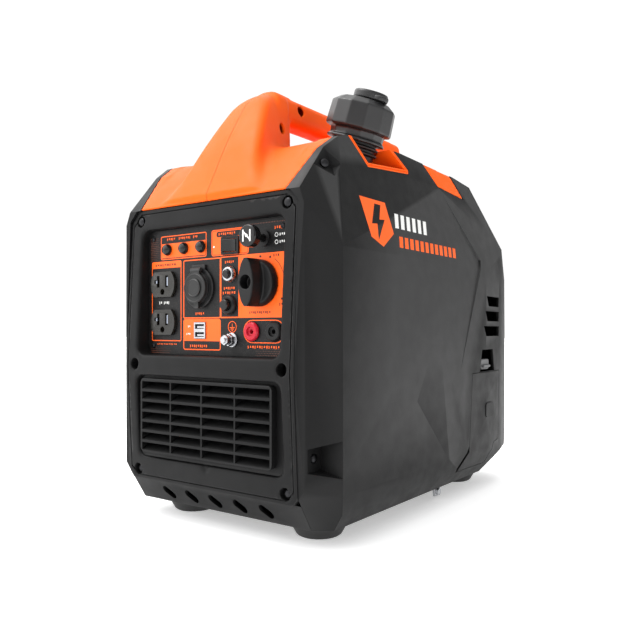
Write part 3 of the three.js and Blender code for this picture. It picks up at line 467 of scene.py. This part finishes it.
def make_hood():
    """The orange cover and handle: flowing fillets, split by a seam along the middle."""
    halves = [NODES[node].data for node in ("handle_right", "handle_left")]
    hood = remeshed("hood", halves, 1.5 * MM)

    def weight(co):
        x, z = np.abs(co[:, 0]), co[:, 2]
        inside = 1 - ramp(x, 82 * MM, 94 * MM)
        above = ramp(z, HOOD_FRONT_Z + 8 * MM, HOOD_FRONT_Z + 20 * MM)
        grip = 1 - 0.8 * ramp(z, GRIP_TOP_Z - 40 * MM, GRIP_TOP_Z - 22 * MM)
        return inside * above * grip

    relax(hood, 6, weight)
    fair_front(hood)
    relax(hood, 8, weight)
    fair_front(hood)
    relax(hood, 2, everywhere)
    length = 60 * MM
    shaft = [(0, 0), (SCREW_HOLE_RADIUS * MM, 0), ((SCREW_HOLE_RADIUS + 0.4) * MM, length), (0, length)]
    for number, (y, z) in enumerate(SCREW_HOLES):
        hood = carve(hood, lathe(f"drill_{number}", shaft, mm(9, y, z), (1, 0, 0), 32), "MANIFOLD")
    half_seam = 0.22 * MM
    for side, name in ((1, "right"), (-1, "left")):
        bm = bmesh.new()
        bm.from_mesh(hood.data)
        bmesh.ops.bisect_plane(
            bm, geom=bm.verts[:] + bm.edges[:] + bm.faces[:], dist=1e-6,
            plane_co=(side * half_seam, 0, 0), plane_no=(side, 0, 0), clear_inner=True,
        )
        half = from_bmesh(f"hood_{name}", bm, 50)
        finish_piece(half, ORANGE, replaces=[f"handle_{name}"])
    bpy.data.objects.remove(hood)
    for number, (y, z) in enumerate(SCREW_HOLES):
        screw(f"handle_screw_{number}", mm(9.5, y, z), (1, 0, 0), 3.6 * MM)


BEZEL_SCREW_X = 99
BEZEL_SCREW_Z = (318, 169.5, 59.5)


def edge_groove():
    """A cutter for the thin groove that runs just inside the bezel's outline."""
    inset, width, depth = 3.4, 1.3, 1.3
    lower, knee, upper = 60, 167, 315
    corners = [(104, 50), (RIM_X, 58), (RIM_X, knee), (RIM_X, 317), (102, 329)]
    corners += [(-x, z) for x, z in reversed(corners)]
    ahead_of_bezel = -232
    bm = bmesh.new()
    rings = []
    for x, z in corners:
        inwards = -1 if z >= upper else (1 if z <= lower else 0)
        lean = 0.0586 if z > knee else 0.0513
        back = -220 + abs(z - knee) * lean + depth
        outer, inner = [
            (math.copysign(abs(x) - reach, x), z + inwards * reach) for reach in (inset, inset + width)
        ]
        rings.append([bm.verts.new(mm(u, y, v)) for (u, v), y in (
            (outer, ahead_of_bezel), (inner, ahead_of_bezel), (inner, back), (outer, back),
        )])
    for ring, following in zip(rings, rings[1:] + rings[:1]):
        for i in range(4):
            j = (i + 1) % 4
            bm.faces.new((ring[i], ring[j], following[j], following[i]))
    return from_bmesh("edge_groove", bm)


def make_bezel():
    """The charcoal frame round the panel and the grille, with wide soft fillets at its openings."""
    bezel = remeshed("bezel", [NODES["front_bezel"].data], 1.1 * MM)

    def weight(co):
        x, z = np.abs(co[:, 0]), co[:, 2] + GROUND * MM
        rim = ramp(RIM_X * MM - x, 3 * MM, 9 * MM)
        screws = everywhere(co)
        for screw_z in BEZEL_SCREW_Z:
            distance = np.hypot(x - BEZEL_SCREW_X * MM, z - screw_z * MM)
            screws = np.minimum(screws, ramp(distance, 7 * MM, 9 * MM))
        ends = ramp(z, 51 * MM, 55 * MM) * (1 - ramp(z, 322 * MM, 326 * MM))
        return 0.02 + 0.98 * rim * screws * ends

    relax(bezel, 14, weight)
    bezel = carve(bezel, edge_groove(), "MANIFOLD")
    bezel = thin_out(bezel, 0.6)
    finish_piece(bezel, CHARCOAL, replaces=["front_bezel"])
    for row, z in enumerate(BEZEL_SCREW_Z):
        for side, name in ((1, "right"), (-1, "left")):
            at = mm(side * BEZEL_SCREW_X, -209.5, z)
            screw(f"bezel_screw_{row}_{name}", at, (0, -1, 0), 4.3 * MM)


def soft_node(name, node, body, voxel, passes, material):
    """A small CAD node with its edges melted a little."""
    piece = remeshed(name, [NODES[node].data], voxel)
    relax(piece, passes, everywhere)
    piece.data.shade_smooth()
    return finish_piece(piece, material, body, [node])


make_hood()
make_bezel()
soft_node("cap_body", "fuel_cap", "fuel_cap", 0.8 * MM, 3, CAP_BLACK)
soft_node("power_handle", "power_knob", "power_knob", 0.55 * MM, 4, SATIN_BLACK)

# ---------------------------------------------------------------- CAD nodes kept as they are

# How wide each node's edges are rounded, in mm, and its material
KEPT = {
    "oil_door": (0.9, CHARCOAL), "service_door": (0.9, CHARCOAL), "rear_panel": (0.8, CHARCOAL),
    "intake_grille": (0.6, CHARCOAL), "base_tray": (1.0, TRAY_BLACK),
    "oil_door_latch": (0.8, GREY), "service_door_latch": (0.8, GREY),
    "side_cover_right": (1.4, CHARCOAL), "side_cover_left": (1.4, CHARCOAL),
    "control_panel": (0.25, PANEL), "filler_recess": (0.9, ORANGE),
    "outlet_upper": (0.5, BROWN_BLACK), "outlet_lower": (0.5, BROWN_BLACK),
    "dc_socket": (0.5, SATIN_BLACK), "dc_socket_cap": (0.7, RUBBER), "usb_port": (0.25, CHROME),
    "reset_breaker": (0.4, CHROME), "reset_button": (0.4, GLOSS_BLACK),
    "dc_breaker": (0.5, SATIN_BLACK), "dc_breaker_button": (0.5, GLOSS_BLACK),
    "eco_rocker": (0.4, GLOSS_BLACK), "choke_knob": (0.6, GLOSS_BLACK),
    "ground_terminal": (0.35, CHROME),
    "jack_red": (0.4, RED), "jack_black": (0.4, SATIN_BLACK),
    "lamp_output": (0.3, GLOSS_BLACK), "lamp_overload": (0.3, GLOSS_BLACK),
    "lamp_oil": (0.3, GLOSS_BLACK),
    "neck_grommet": (0.6, RUBBER), "fuel_tank": (0.8, SATIN_BLACK), "cap_gasket": (0.5, RUBBER),
    "drain_tab": (0.4, CHROME),
    "foot_front_right": (1.2, SOLE), "foot_front_left": (1.2, SOLE),
    "foot_rear_right": (1.2, SOLE), "foot_rear_left": (1.2, SOLE),
    "spark_arrestor": (0.6, DARK_STEEL), "muffler": (1.0, DARK_STEEL), "crankcase": (1.0, CAST),
    "cylinder": (0.5, ALLOY), "valve_cover": (1.2, DARK_STEEL), "spark_plug": (0.5, RUBBER),
    "crankshaft": (0.4, CHROME), "rotor_fan": (0.6, CAST), "stator": (0.6, WINDING),
    "recoil_housing": (0.6, SATIN_BLACK), "recoil_pulley": (0.5, SATIN_BLACK),
    "recoil_grip": (1.0, SATIN_BLACK), "carburettor": (0.6, ALLOY),
    "air_filter_box": (1.0, SATIN_BLACK), "inverter_module": (0.5, ALLOY),
    "oil_dipstick": (0.6, ORANGE), "engine_bed": (0.8, DARK_STEEL),
}
for node, (width, material) in KEPT.items():
    rounded_edges(node, width * MM, material)

# ---------------------------------------------------------------- vent knob

CAP_TILT = math.radians(18)


def make_vent_knob():
    """A flat round knob with a notch on one side and a lower lobe on the other."""
    axis = Vector((math.sin(CAP_TILT), 0, math.cos(CAP_TILT)))
    across = Vector((math.cos(CAP_TILT), 0, -math.sin(CAP_TILT)))
    forward = Vector((0, -1, 0))
    foot = mm(87.7, -80, 413.2) + across * 5 * MM
    stem_and_disc = [
        (0, 12), (4.9, 12), (4.9, 31.8), (17, 31.8), (18, 33), (18, 38.4), (17, 40.4), (0, 41),
    ]
    lobe = [(0, 31.8), (8, 31.8), (8.6, 33), (8.6, 36), (7.6, 37), (0, 37)]
    lobe_foot = foot + across * 15 * MM + forward * 4 * MM
    parts = [
        lathe("knob_part", [(r * MM, h * MM) for r, h in profile], base, axis)
        for base, profile in ((foot, stem_and_disc), (lobe_foot, lobe))
    ]
    knob = remeshed("vent_top", [part.data for part in parts], 0.5 * MM)
    for part in parts:
        bpy.data.objects.remove(part)
    notch = lathe("notch", [(0, 36 * MM), (4 * MM, 36 * MM), (4 * MM, 44 * MM), (0, 44 * MM)],
                  foot - across * 15.5 * MM + forward * 5 * MM, axis, 24)
    knob = carve(knob, notch, "MANIFOLD")
    relax(knob, 3, everywhere)
    knob.data.shade_smooth()
    finish_piece(knob, CAP_BLACK, "vent_knob", ["vent_knob"])


make_vent_knob()

# ---------------------------------------------------------------- printed marks

def outline_box(u0, u1, v0, v1, r=0.0):
    """A rectangle with rounded corners as a closed outline."""
    if r <= 0:
        return [(u0, v0), (u1, v0), (u1, v1), (u0, v1)]
    corners = (
        (u1 - r, v0 + r, -90), (u1 - r, v1 - r, 0), (u0 + r, v1 - r, 90), (u0 + r, v0 + r, 180),
    )
    points = []
    for cu, cv, start in corners:
        for step in range(7):
            t = math.radians(start + 15 * step)
            points.append((cu + r * math.cos(t), cv + r * math.sin(t)))
    return points


def outline_disc(u, v, r, sides=20):
    """A disc as a closed outline."""
    return [(u + r * math.cos(2 * math.pi * i / sides), v + r * math.sin(2 * math.pi * i / sides))
            for i in range(sides)]


def outline_stroke(u0, v0, u1, v1, width):
    """A straight stroke between two points."""
    length = math.hypot(u1 - u0, v1 - v0)
    a, b = -(v1 - v0) / length * width / 2, (u1 - u0) / length * width / 2
    return [(u0 + a, v0 + b), (u1 + a, v1 + b), (u1 - a, v1 - b), (u0 - a, v0 - b)]


def frame_lines(u0, u1, v0, v1, r, width):
    """A line of this width round a rectangle with rounded corners."""
    inner = outline_box(u0 + width, u1 - width, v0 + width, v1 - width, r - width)
    return [outline_box(u0, u1, v0, v1, r), inner]


def ring(u, v, r, inner, sides=20):
    """A ring between two radii."""
    return [outline_disc(u, v, r, sides), outline_disc(u, v, inner, sides)]


def bars(u0, u1, v0, v1, count):
    """A row of short upright bars that stands where words would be."""
    pitch = (u1 - u0) / count
    rows = []
    for i in range(count):
        wide = pitch * (0.38 + 0.22 * ((i * 7) % 3) / 2)
        low = v0 + (v1 - v0) * 0.3 * ((i * 5) % 3) / 2
        rows.append(outline_box(u0 + i * pitch, u0 + i * pitch + wide, low, v1))
    return rows


def printed(name, outlines, origin, across, up, material, lift, slot, body="machine"):
    """Flat inked shapes; an outline inside another one is left open."""
    curve = bpy.data.curves.new(name, "CURVE")
    curve.dimensions = "2D"
    curve.fill_mode = "BOTH"
    curve.extrude = 0.02 * MM
    for outline in outlines:
        spline = curve.splines.new("POLY")
        spline.points.add(len(outline) - 1)
        for point, (u, v) in zip(spline.points, outline):
            point.co = (u * MM, v * MM, 0, 1)
        spline.use_cyclic_u = True
    out = across.cross(up)
    flat = bpy.data.objects.new(name, curve)
    bpy.context.scene.collection.objects.link(flat)
    piece = evaluated(flat, name)
    turn = Matrix((across, up, out)).transposed().to_4x4()
    piece.data.transform(Matrix.Translation(Vector(origin) + out * lift * MM) @ turn)
    return finish_piece(piece, material, body)


PANEL_Y = -203
FRONT = (mm(0, PANEL_Y, 0), Vector((1, 0, 0)), Vector((0, 0, 1)))
POWER_KNOB = (60.5, 248)
EARTH_SIGN = (25, 207.5)


def panel_print(name, outlines, material, lift, slot="orange_plastic"):
    """Inked shapes on the control panel, given as (x, height) in mm."""
    printed(name, outlines, *FRONT, material, lift, slot)


def halftone(u0, u1, v0, v1, towards_u, towards_v):
    """Dots on a slanted grid that shrink away from one corner of their field."""
    dots = []
    pitch = 1.9
    rows = int((v1 - v0) / pitch)
    columns = int((u1 - u0) / pitch)
    for row in range(rows):
        for column in range(columns):
            u = u0 + pitch * (column + 0.5 * (row % 2))
            v = v0 + pitch * row
            fade = 1 - 0.5 * (abs(u - towards_u) / (u1 - u0) + abs(v - towards_v) / (v1 - v0))
            if fade > 0.25:
                dots.append(outline_disc(u, v, 0.62 * fade, 8))
    return dots


def print_fields():
    """The orange frames and fields round the devices, and the black fields on top of them."""
    frames = frame_lines(-77, -10, 277, 301.5, 2, 1) + frame_lines(-91, -46, 193, 275.5, 2, 1)
    frames += frame_lines(-43, 9.4, 216, 275, 2, 1.1)
    panel_print("print_frames", frames, PRINT_ORANGE, 0.08)
    panel_print("print_usb_frame", frame_lines(-43, 9.4, 184.5, 215.4, 2.5, 1.1), PRINT_ORANGE, 0.1)
    lamp_field = outline_box(-75.4, -11.6, 278.8, 293.5)
    rocker_field = outline_box(-3, 46, 276.5, 302, 2.5)
    outlet_label = outline_box(-90.4, -46.6, 268.5, 275)
    usb_field = outline_box(-42.2, 8.6, 193.5, 214.6)
    usb_opening = outline_box(-26.9, -10.3, 195.6, 212.4)
    fills = [lamp_field, rocker_field, outlet_label, usb_field, usb_opening]
    panel_print("print_fills", fills, PRINT_ORANGE, 0.12)
    panel_print("print_switch_field", [outline_box(33, 94, 216, 275.7)], PRINT_ORANGE, 0.14)
    panel_print("print_column", [outline_box(9.3, 34, 216, 275.4)], PRINT_ORANGE, 0.11)
    column_field = [outline_box(10.4, 32.8, 217.2, 274.4)]
    panel_print("print_column_field", column_field, PRINT_BLACK, 0.17, "gloss_black")


def print_black_marks():
    """What is black on the orange: a label, the choke's field, rows of bars and the knob's arc."""
    u, v = POWER_KNOB
    black = frame_lines(-2, 45, 277.4, 301, 2, 0.35)
    black += [outline_box(4, 36, 294.6, 299.8, 2), outline_box(47.2, 94, 276, 303, 2)]
    black += bars(-85, -53, 270.4, 272.8, 9) + bars(47, 74, 219.5, 222, 11)
    black += [outline_disc(u, 272.8, 1.1), outline_disc(72.6, 271.6, 1.1), outline_disc(86.5, 233, 1.1)]
    black += bars(83.6, 88.4, 226.5, 229.3, 2) + bars(76.6, 84, 271.5, 274, 3)
    turns = [math.radians(t) for t in range(-22, 56, 3)]
    arc = [(u + 29 * math.cos(t), v + 27 * math.sin(t)) for t in turns]
    for start, following in zip(arc, arc[1:]):
        black.append(outline_stroke(*start, *following, 0.5))
    panel_print("print_black", black, PRINT_BLACK, 0.2, "gloss_black")


def print_orange_marks():
    """Rows of bars where the labels stand, the jacks' frame and the earth sign."""
    marks = bars(-67, -54, 296.4, 299, 5) + bars(-49.5, -31.5, 296.4, 299, 7)
    marks += bars(-28.5, -22, 296.4, 299, 3) + bars(7, 30, 296, 298.5, 8)
    marks += bars(15.5, 28, 268.5, 271, 5)
    marks += bars(14, 29, 243.3, 245.8, 6) + bars(12.6, 30, 238.8, 241.4, 6)
    marks += bars(-25, -12, 219.4, 222, 5) + bars(-33, -8, 187, 189.8, 9)
    marks += bars(78, 91, 296.5, 299.4, 5) + bars(45, 85, 187.2, 189.8, 14)
    marks += bars(-82, -52, 189.2, 190.6, 12)
    marks += frame_lines(39.5, 90, 192.2, 214, 10.8, 0.9)
    u, v = EARTH_SIGN
    marks += ring(u, v, 5.6, 4.9, 28)
    marks += [outline_box(u - 0.3, u + 0.3, v - 0.3, v + 3.1)]
    for half, top in ((3.2, v - 0.3), (2.1, v - 1.7), (1, v - 3.1)):
        marks.append(outline_box(u - half, u + half, top - 0.7, top))
    panel_print("print_marks", marks, PRINT_ORANGE, 0.28)


def print_white_marks():
    """White bars, the choke's two position rings and a dot."""
    white = bars(-79, -74, 231, 234, 2) + bars(-72, -63, 231, 234, 4)
    for v in (291.4, 284.8):
        white += ring(80.2, v, 2, 1.5)
    white += bars(84, 91, 290.3, 292.7, 3) + bars(84, 91, 283.6, 286, 3)
    white += bars(-36, -32, 207, 209, 2) + bars(-38, -32, 199.5, 201.5, 3)
    white += [outline_disc(0.4, 285.5, 1, 12)]
    panel_print("print_white", white, PRINT_WHITE, 0.28, "bright_steel")


def make_panel_prints():
    """Everything printed on the control panel."""
    print_fields()
    print_black_marks()
    print_orange_marks()
    print_white_marks()
    panel_print("print_green", [outline_disc(41, 295.6, 1.7, 16)], GREEN, 0.26, "gloss_black")
    dots = halftone(-92, -78, 277, 302, -92, 290) + halftone(55, 93, 181, 192, 93, 181)
    dots += halftone(48, 93, 294, 306, 70, 306) + halftone(-92, -60, 181, 189, -92, 181)
    panel_print("print_dots", dots, PRINT_RUST, 0.06, "gloss_black")


def make_choke_mark():
    """The usual choke sign on the knob's face: two uprights and a slanted flap."""
    strokes = [
        outline_stroke(-4.2, -5.2, -4.2, 5.4, 1.5), outline_stroke(4.2, -5.4, 4.2, 5.2, 1.5),
        outline_stroke(-4.6, 4.4, 4.6, -4.4, 1.3), outline_disc(0, 0, 1.5, 16),
    ]
    origin = mm(66, 0, 289)
    origin.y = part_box("choke_knob")[0].y
    for number, stroke in enumerate(strokes):
        printed(f"choke_mark_{number}", [stroke], origin, *FRONT[1:], PRINT_WHITE,
                0.06 + 0.05 * number, "bright_steel", "choke_knob")


def make_side_print():
    """Plain stripes and a bolt on the leaning part of the right side."""
    origin = mm(146, 0, 278)
    across = Vector((0, 1, 0))
    up = Vector((-0.2541, 0, 0.9672)).normalized()

    def side(name, outlines, material, slot):
        printed(name, outlines, origin, across, up, material, 0.12, slot)

    badge = [(-146, 54), (-100, 54), (-96, 22), (-122, 6), (-140, 14)]
    bolt = [(-121, 50), (-134, 28), (-124, 29), (-128, 12), (-108, 35), (-118, 34), (-110, 50)]
    side("side_badge", [badge, bolt], PRINT_ORANGE, "orange_plastic")
    white = [[(u, 29), (u + 7, 29), (u + 12, 45), (u + 5, 45)] for u in range(-90, -18, 12)]
    side("side_bars_white", white, PRINT_WHITE, "bright_steel")
    orange = [[(u, 8.5), (u + 7, 8.5), (u + 11, 20.5), (u + 4, 20.5)] for u in range(-90, 40, 11)]
    side("side_bars_orange", orange, PRINT_ORANGE, "orange_plastic")


make_panel_prints()
make_choke_mark()
make_side_print()

# ---------------------------------------------------------------- small hardware

def make_panel_screws():
    """One small screw at each corner of the control panel."""
    for side, name in ((1, "right"), (-1, "left")):
        for z in (299, 188):
            screw(f"panel_screw_{name}_{z}", mm(side * 88, PANEL_Y - 0.4, z), (0, -1, 0), 2.6 * MM)


def make_device_details():
    """Contacts inside the outlets, and the rings moulded on the DC socket's lid."""
    for name, z in (("upper", 251.5), ("lower", 212.5)):
        for side, x, low, high in (("left", -82, -2.2, 4.2), ("right", -65.6, -1.5, 7.5)):
            bm = bmesh.new()
            block(bm, mm(x, -205.6, z + low), mm(x + 2.2, -203.2, z + high))
            bmesh.ops.bevel(bm, geom=bm.edges[:], offset=0.3 * MM, segments=2, affect="EDGES")
            finish_piece(from_bmesh(f"contact_{name}_{side}", bm), CONTACT)
    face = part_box("dc_socket_cap")[0].y
    half_width, rise = 0.9 * MM, 0.5 * MM
    for name, radius, lift in (("inner", 8.0 * MM, 0.0), ("outer", 13.6 * MM, 1.5 * MM)):
        inner_foot = (radius - half_width, -rise)
        profile = [inner_foot, (radius, rise), (radius + half_width, -rise), inner_foot]
        centre = mm(-19, 0, 246)
        centre.y = face + lift
        lid_ring = lathe(f"dc_lid_ring_{name}", profile, centre, (0, -1, 0), 40)
        finish_piece(lid_ring, RUBBER, "dc_socket_cap")


def make_side_screws():
    """The screws that hold each side cover, in its upper and its lower front corner."""
    for height, (x, y, z), (out, back, up), radius in (
        ("upper", (118.2, -181.5, 355.5), (0.85, -0.5, 0.1), 4.0),
        ("lower", (122.6, -203, 92), (1, 0, 0), 4.2),
    ):
        for side, name in ((1, "right"), (-1, "left")):
            at = mm(side * x, y, z)
            screw(f"side_screw_{height}_{name}", at, (side * out, back, up), radius * MM)


make_panel_screws()
make_device_details()
make_side_screws()

# ---------------------------------------------------------------- stage, light and camera

def make_stage():
    """A wide white floor that glows faintly, so that only contact shadows show."""
    bm = bmesh.new()
    bmesh.ops.create_grid(bm, x_segments=8, y_segments=8, size=14)
    floor = from_bmesh("floor", bm)
    material, tree, shader = tree_of("pale_floor")
    pale = mixed(tree, mapped(tree, noise(tree, 3, 3), 0, 1), (0.93, 0.93, 0.93), (0.95, 0.95, 0.95))
    tree.links.new(pale, shader.inputs["Base Color"])
    tree.links.new(pale, shader.inputs["Emission Color"])
    shader.inputs["Emission Strength"].default_value = 0.44
    shader.inputs["Roughness"].default_value = 0.9
    shader.inputs["Specular IOR Level"].default_value = 0.0
    floor.data.materials.append(material)


def softbox(name, at, aim, size, power):
    """A rectangular lamp that looks at a point."""
    light = bpy.data.lights.new(name, "AREA")
    light.shape = "RECTANGLE"
    light.size, light.size_y = size
    light.energy = power
    obj = bpy.data.objects.new(name, light)
    bpy.context.scene.collection.objects.link(obj)
    obj.location = at
    obj.rotation_euler = (Vector(aim) - Vector(at)).to_track_quat("-Z", "Y").to_euler()


def make_lights():
    """A room of soft light: white behind the object and above its front left."""
    world = bpy.data.worlds.new("studio")
    world.use_nodes = True
    tree = world.node_tree
    background = next(n for n in tree.nodes if n.type == "BACKGROUND")
    direction = tree.nodes.new("ShaderNodeTexCoord")

    def towards(aim, low, high, start, end):
        """A strength that goes from low to high as the direction turns towards `aim`."""
        dot = tree.nodes.new("ShaderNodeVectorMath")
        dot.operation = "DOT_PRODUCT"
        dot.inputs[1].default_value = aim
        tree.links.new(direction.outputs["Generated"], dot.inputs[0])
        return mapped(tree, dot.outputs["Value"], low, high, start, end)

    behind, above_front_left = (-0.577, 0.816, 0), (-0.52, -0.42, 0.744)
    total = tree.nodes.new("ShaderNodeMath")
    total.operation = "ADD"
    tree.links.new(towards(behind, 0.58, 1.04, 0.60, 0.80), total.inputs[0])
    tree.links.new(towards(above_front_left, 0, 2.4, 0.35, 0.95), total.inputs[1])
    tree.links.new(total.outputs["Value"], background.inputs["Strength"])
    background.inputs["Color"].default_value = (1, 1, 1, 1)
    bpy.context.scene.world = world
    target = (0, 0, 0.22)
    softbox("key", (-0.85, -0.95, 2.4), target, (1.1, 0.9), 26)
    softbox("side", (2.4, -0.6, 1.2), target, (1.2, 1.6), 4)


def make_camera():
    """A level camera at the front right corner, a little under half the machine's height."""
    camera = bpy.data.cameras.new("camera")
    camera.sensor_width = 36
    camera.lens = 39.18
    camera.shift_x = -0.0321
    camera.shift_y = 0.0234
    obj = bpy.data.objects.new("camera", camera)
    bpy.context.scene.collection.objects.link(obj)
    obj.location = (0.48398, -0.68157, 0.19874)
    obj.rotation_euler = (math.radians(90), 0, math.radians(35.28))
    bpy.context.scene.camera = obj


make_stage()
make_lights()
make_camera()
bpy.context.scene.view_settings.view_transform = "Standard"
